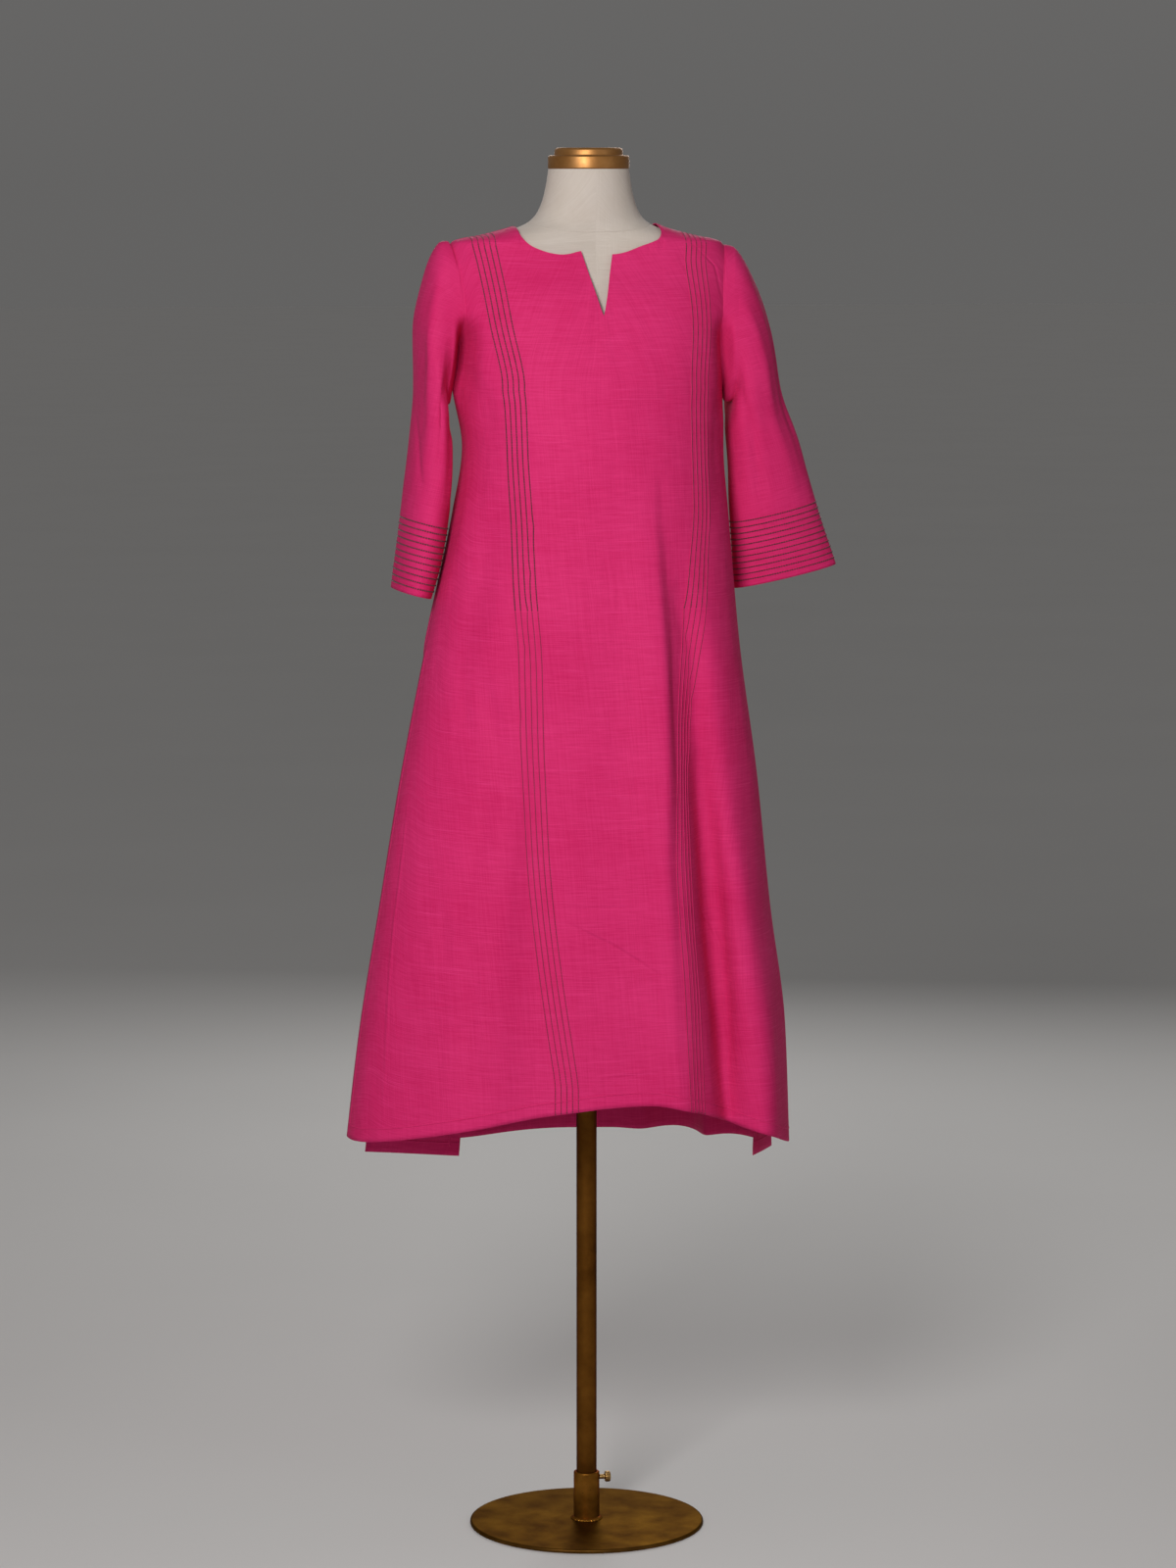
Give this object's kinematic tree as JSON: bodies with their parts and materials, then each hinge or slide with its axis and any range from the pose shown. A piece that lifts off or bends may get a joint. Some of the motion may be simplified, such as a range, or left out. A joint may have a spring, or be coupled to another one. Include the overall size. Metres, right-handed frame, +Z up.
{
  "type": "kurti on a dress form stand",
  "caption": "A-line kurti with round slit neck, three-quarter sleeves and open side slits, worn by a limbless dress form on a pole with a round base plate.",
  "frame": {"origin": "middle of the base plate's underside, where the stand rests on the floor", "axes": "+Z up along the pole; the garment's front faces -Y, and the wearer's left side is +X"},
  "size_m": [0.6123, 0.3766, 1.6983],
  "materials": {
    "kurti_cloth": "hot pink handloom cloth with a soft sheen and slubs in the weft",
    "stitch_thread": "dark maroon sewing thread in running stitch",
    "form_cover": "ivory canvas stretched smooth over the form",
    "cap_gold": "satin antique gold paint",
    "stand_bronze": "satin dark bronze paint, rubbed lighter on the rims",
    "screw_brass": "dull brass"
  },
  "bodies": {
    "root": {"front_panel": "kurti_cloth", "back_panel": "kurti_cloth", "right_sleeve": "kurti_cloth", "left_sleeve": "kurti_cloth", "dress_form": "form_cover", "neck_cap": "cap_gold", "pole": "stand_bronze", "pole_collar": "stand_bronze", "thumb_screw": "screw_brass", "base_plate": "stand_bronze"}
  },
  "joints": []
}
